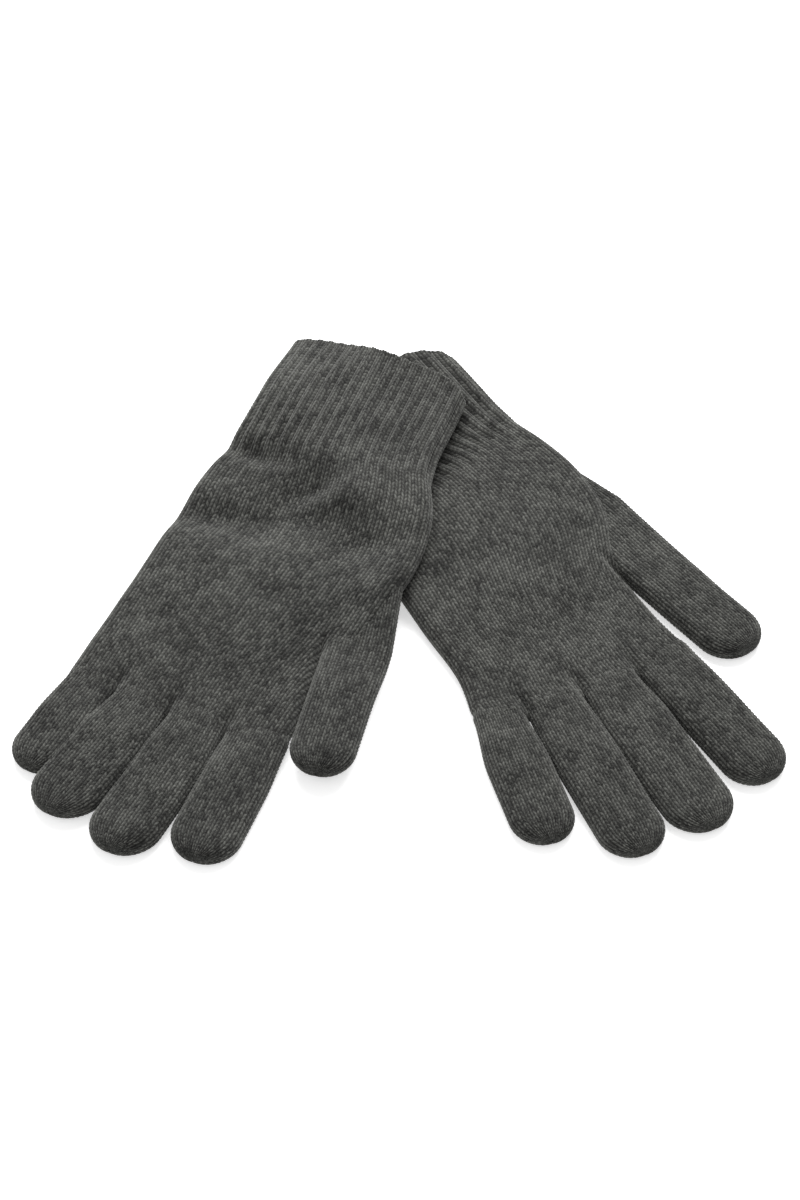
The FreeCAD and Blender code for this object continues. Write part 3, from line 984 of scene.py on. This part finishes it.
def area_light(name, place, width, power):
    """A square light that faces the middle of the table."""
    light = bpy.data.lights.new(name, "AREA")
    light.shape = "SQUARE"
    light.size = width
    light.energy = power
    lamp = bpy.data.objects.new(name, light)
    lamp.location = place
    lamp.rotation_euler = (-Vector(place)).to_track_quat("-Z", "Y").to_euler()
    bpy.context.scene.collection.objects.link(lamp)


def show_white(tree):
    """The camera sees a white surrounding, whatever light it gives."""
    seen = tree.nodes.new("ShaderNodeBackground")
    seen.inputs["Color"].default_value = WHITE
    path = tree.nodes.new("ShaderNodeLightPath")
    mix = tree.nodes.new("ShaderNodeMixShader")
    tree.links.new(path.outputs["Is Camera Ray"], mix.inputs[0])
    tree.links.new(tree.nodes["Background"].outputs[0], mix.inputs[1])
    tree.links.new(seen.outputs[0], mix.inputs[2])
    tree.links.new(mix.outputs[0], tree.nodes["World Output"].inputs["Surface"])


def make_lights():
    """Soft light from all round, a large key light from behind the cuffs and a weak fill from the front."""
    world = bpy.data.worlds.new("studio")
    bpy.context.scene.world = world
    world.use_nodes = True
    background = world.node_tree.nodes["Background"]
    background.inputs["Color"].default_value = WHITE
    background.inputs["Strength"].default_value = WORLD_STRENGTH
    show_white(world.node_tree)
    area_light("key", (0.1, 0.85, 0.9), 1.1, 27)
    area_light("fill", (-0.3, -0.8, 1.0), 1.0, 3)


def make_camera(glove):
    """Looks down at 48 degrees from 1.1 m away, over the fingertips' side."""
    elevation, distance = math.radians(48), 1.1
    aim = Vector((glove.middle[0] - 8.5, glove.middle[1] - 69.7, 4.0)) * MM
    camera = bpy.data.cameras.new("camera")
    camera.lens = 90.75
    camera.sensor_width = 36
    holder = bpy.data.objects.new("camera", camera)
    back = Vector((0, -math.cos(elevation), math.sin(elevation)))
    holder.location = aim + back * distance
    holder.rotation_euler = (-back).to_track_quat("-Z", "Y").to_euler()
    bpy.context.scene.collection.objects.link(holder)
    bpy.context.scene.camera = holder


# ---------------------------------------------------------------- the pair

RIGHT_LOOK = Look(
    shapes={"thumb": Shape(root=1, swell=0.99, bend=2.2, longer=-1.2, lift=0),
            "index": Shape(root=1, swell=1.07, bend=0.8, longer=-0.7, lift=0),
            "middle": Shape(root=1, swell=1.19, bend=2.5, longer=-1.0, lift=0),
            "ring": Shape(root=1, swell=1.15, bend=1.7, longer=0, lift=0),
            "little": Shape(root=0.97, swell=1.23, bend=2.1, longer=-0.6, lift=0)},
    little_side=((0, 0.5), (-30, 0.6), (-62, 1.6), (-84, 1.6), (-104, 1.4)),
    little_corner=1.4,
    seam_flare=2.6,
    palm_side=0,
    thumb_hold=26,
    thumb_taper=0.2,
    rim_extra=3,
    rim_slant=0,
    rim_corners=(7, 7),
    cuff_sides=(0.5, 1.5),
    wrist_bend=-0.06,
    askew=-0.12,
    rib_end=-3,
    rib_end_slant=-0.4,
    seed=3,
    creases=())

LEFT_LOOK = Look(
    shapes={"thumb": Shape(root=1, swell=0.96, bend=0, longer=1.2, lift=4),
            "index": Shape(root=1, swell=1.11, bend=-0.8, longer=-1.0, lift=0),
            "middle": Shape(root=1, swell=1.18, bend=-3.6, longer=1.2, lift=0.5),
            "ring": Shape(root=1, swell=1.25, bend=-3.3, longer=1.5, lift=1.2),
            "little": Shape(root=1, swell=1.18, bend=0, longer=0.8, lift=0)},
    little_side=((0, 4.6), (-20, 7.2), (-45, 7.6), (-76, 7.6), (-104, 8.2)),
    little_corner=-0.5,
    seam_flare=0.5,
    palm_side=5,
    thumb_hold=4,
    thumb_taper=0.1,
    rim_extra=9.5,
    rim_slant=4.6,
    rim_corners=(3, 6),
    cuff_sides=(2.8, -2.3),
    wrist_bend=-0.06,
    askew=0,
    rib_end=0,
    rib_end_slant=-0.06,
    seed=11,
    creases=(Crease(x=-30, y=-7, angle=-0.15, length=16, width=6, rise=-3.6),
             Crease(x=-4, y=-17, angle=0.9, length=14, width=7, rise=-4.2),
             Crease(x=-30, y=-40, angle=0.05, length=24, width=10, rise=-5.2),
             Crease(x=8, y=-27, angle=0.3, length=16, width=6, rise=-3.0),
             Crease(x=26, y=-33, angle=0.1, length=18, width=10, rise=-5.2)))

right_glove = Glove("right", RIGHT_LOOK)
left_glove = Glove("left", LEFT_LOOK)
lay_left_on_right(right_glove, left_glove)
build_glove(right_glove)
build_glove(left_glove)
paint_tip_yarns()
make_stage()
make_lights()
make_camera(right_glove)
bpy.context.scene.view_settings.view_transform = "Standard"
